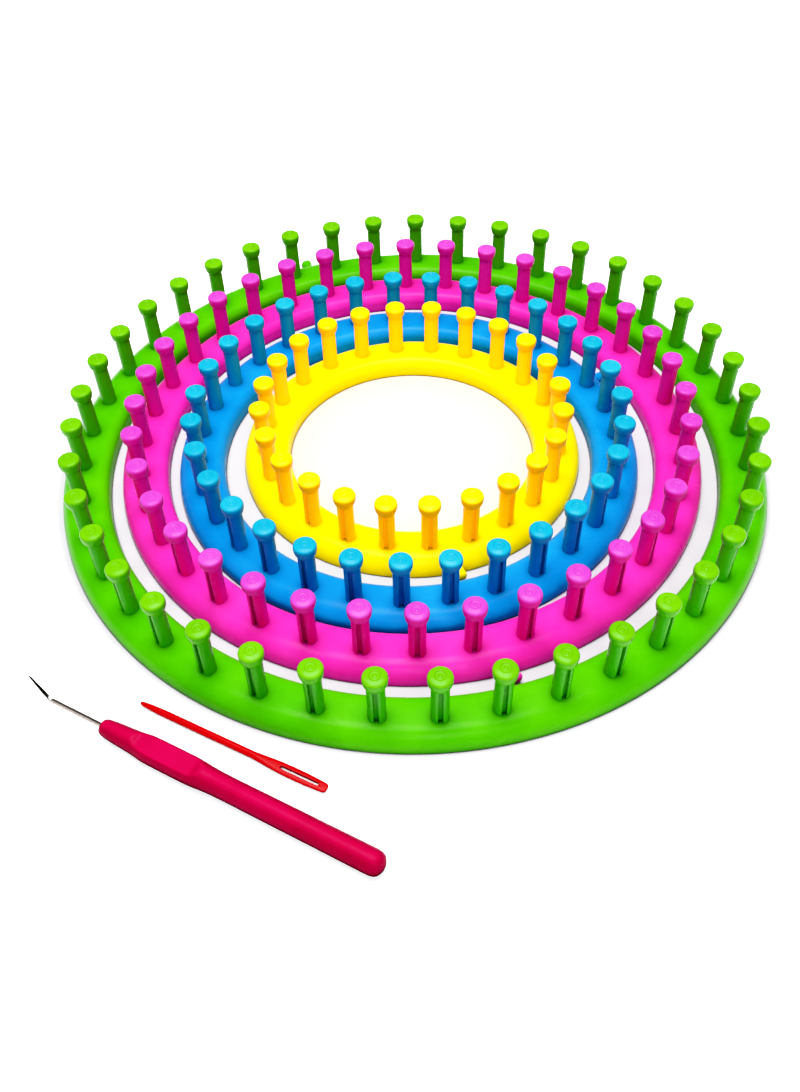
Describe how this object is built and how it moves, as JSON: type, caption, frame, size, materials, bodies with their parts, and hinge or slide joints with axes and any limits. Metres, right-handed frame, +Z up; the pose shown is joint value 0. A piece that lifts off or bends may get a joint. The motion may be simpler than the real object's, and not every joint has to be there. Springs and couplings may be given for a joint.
{
  "type": "round knitting loom set",
  "caption": "Nested round knitting looms: flat hollow rings carrying grooved pegs with domed heads and a side anchor knob, with a loom hook and a plastic yarn needle.",
  "frame": {"origin": "axis of the smallest loom's opening, on the plane that everything rests on", "axes": "+Z up, out of the rings along the pegs; +Y away from the loom hook and needle, +X to the right as seen from the hook's side"},
  "size_m": [0.29, 0.3333, 0.0315],
  "materials": {
    "green_plastic": "satin moulded plastic",
    "pink_plastic": "satin moulded plastic",
    "blue_plastic": "satin moulded plastic",
    "yellow_plastic": "satin moulded plastic",
    "crimson_plastic": "satin moulded plastic",
    "steel": "drawn wire",
    "red_plastic": "smooth moulded plastic"
  },
  "bodies": {
    "green_loom": {"green_ring": "green_plastic", "green_pegs": "green_plastic", "green_anchor_knob": "green_plastic"},
    "pink_loom": {"pink_ring": "pink_plastic", "pink_pegs": "pink_plastic", "pink_anchor_knob": "pink_plastic"},
    "blue_loom": {"blue_ring": "blue_plastic", "blue_pegs": "blue_plastic", "blue_anchor_knob": "blue_plastic"},
    "yellow_loom": {"yellow_ring": "yellow_plastic", "yellow_pegs": "yellow_plastic", "yellow_anchor_knob": "yellow_plastic"},
    "hook": {"hook_handle": "crimson_plastic", "hook_steel": "steel"},
    "needle": {"yarn_needle": "red_plastic"}
  },
  "joints": [
    {"name": "pink_lift", "type": "slide", "parent": "green_loom", "child": "pink_loom", "axis": [0, 0, 1], "range_m": [0, 0.06]},
    {"name": "blue_lift", "type": "slide", "parent": "green_loom", "child": "blue_loom", "axis": [0, 0, 1], "range_m": [0, 0.1]},
    {"name": "yellow_lift", "type": "slide", "parent": "green_loom", "child": "yellow_loom", "axis": [0, 0, 1], "range_m": [0, 0.14]},
    {"name": "hook_lift", "type": "slide", "parent": "green_loom", "child": "hook", "axis": [0, 0, 1], "range_m": [0, 0.06]},
    {"name": "needle_lift", "type": "slide", "parent": "green_loom", "child": "needle", "axis": [0, 0, 1], "range_m": [0, 0.06]}
  ]
}
